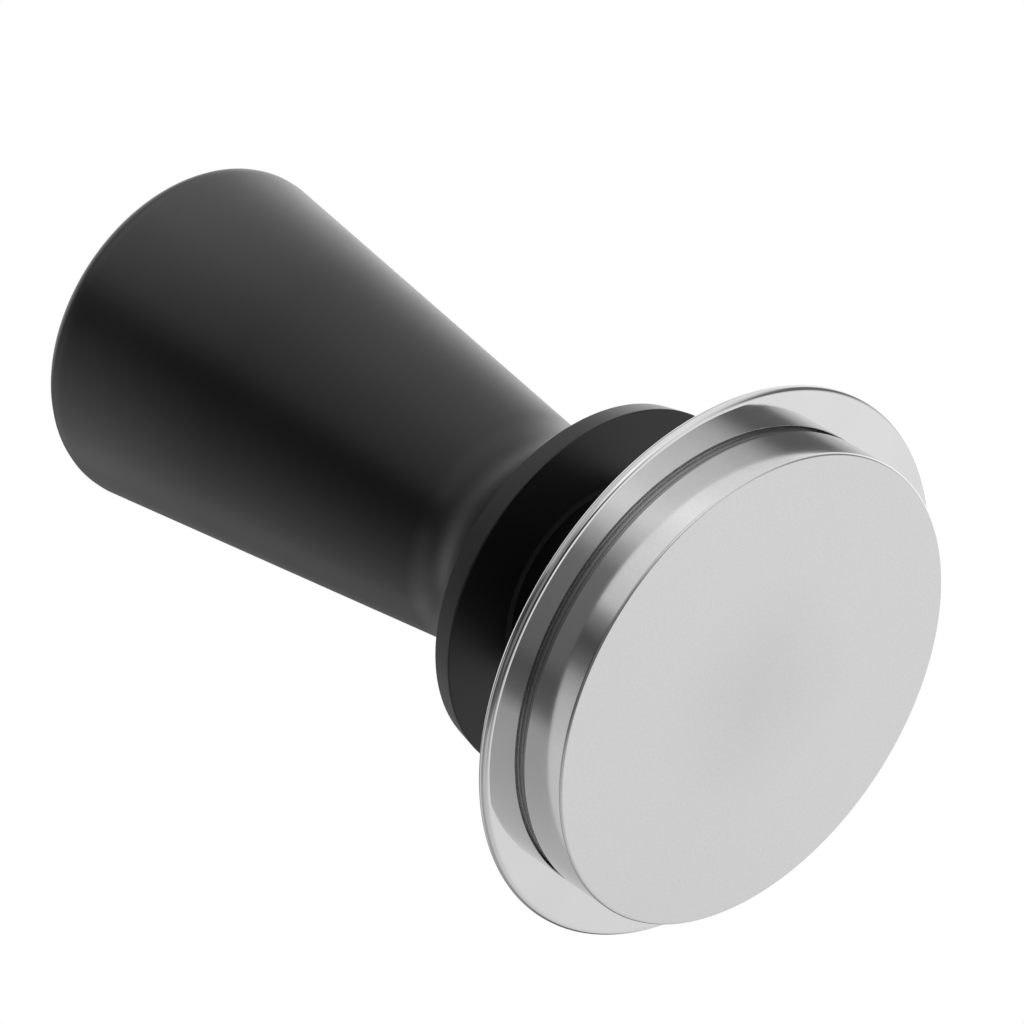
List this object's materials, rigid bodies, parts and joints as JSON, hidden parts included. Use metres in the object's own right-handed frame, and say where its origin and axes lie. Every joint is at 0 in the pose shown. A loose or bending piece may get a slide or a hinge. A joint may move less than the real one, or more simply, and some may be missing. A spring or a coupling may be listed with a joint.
{
  "type": "espresso tamper",
  "caption": "Hand tamper for ground coffee: a black waisted handle on a calibrated spring, a steel tamping disc and a wider polished levelling flange that slides up on its own light spring.",
  "frame": {"origin": "centre of the tamping face, the flat underside of the base", "axes": "+Z along the tamper's axis, from the base up through the handle; the piece is round about Z"},
  "size_m": [0.0686, 0.0686, 0.1035],
  "materials": {
    "black_aluminium": "satin black anodised, fine bead-blasted",
    "polished_steel": "mirror polished stainless steel",
    "turned_steel": "fine turned stainless steel",
    "machined_steel": "plain machined stainless steel",
    "spring_steel": "oil-tempered spring wire",
    "bronze": "plain bearing bronze",
    "white_polymer": "acetal bearing plastic",
    "black_polymer": "filled bearing plastic",
    "black_rubber": "nitrile rubber"
  },
  "bodies": {
    "base": {"base_disc": "turned_steel", "lock_washer": "spring_steel", "rest_washer": "white_polymer", "plunger_rod": "machined_steel", "rod_snap_ring": "spring_steel", "piston_head": "machined_steel", "piston_guide_ring": "white_polymer", "thrust_washer": "bronze", "piston_screw": "machined_steel"},
    "handle_swivel": {"lower_spring_seat": "machined_steel", "main_spring": "spring_steel"},
    "handle": {"handle_grip": "black_aluminium", "upper_spring_seat": "machined_steel", "retaining_ring": "spring_steel", "stop_washer": "black_rubber", "wiper_ring": "black_rubber", "collar_bush": "black_polymer"},
    "flange_swivel": {"return_spring_seat": "machined_steel", "return_spring": "spring_steel"},
    "flange": {"levelling_flange": "polished_steel", "guide_sleeve": "black_aluminium", "rod_bush": "bronze", "flange_screws": "machined_steel"}
  },
  "joints": [
    {"name": "handle_turn", "type": "hinge", "parent": "base", "child": "handle_swivel", "pos_m": [0, 0, 0.0588], "axis": [0, 0, 1], "continuous": true},
    {"name": "handle_press", "type": "slide", "parent": "handle_swivel", "child": "handle", "axis": [0, 0, -1], "range_m": [0, 0.005], "stiffness_N_per_m": 9000, "springref_m": -0.0065, "deforming": ["main_spring"]},
    {"name": "flange_turn", "type": "hinge", "parent": "base", "child": "flange_swivel", "pos_m": [0, 0, 0.033], "axis": [0, 0, 1], "continuous": true},
    {"name": "flange_lift", "type": "slide", "parent": "flange_swivel", "child": "flange", "axis": [0, 0, 1], "range_m": [0, 0.008], "stiffness_N_per_m": 300, "springref_m": -0.01, "deforming": ["return_spring"]}
  ]
}
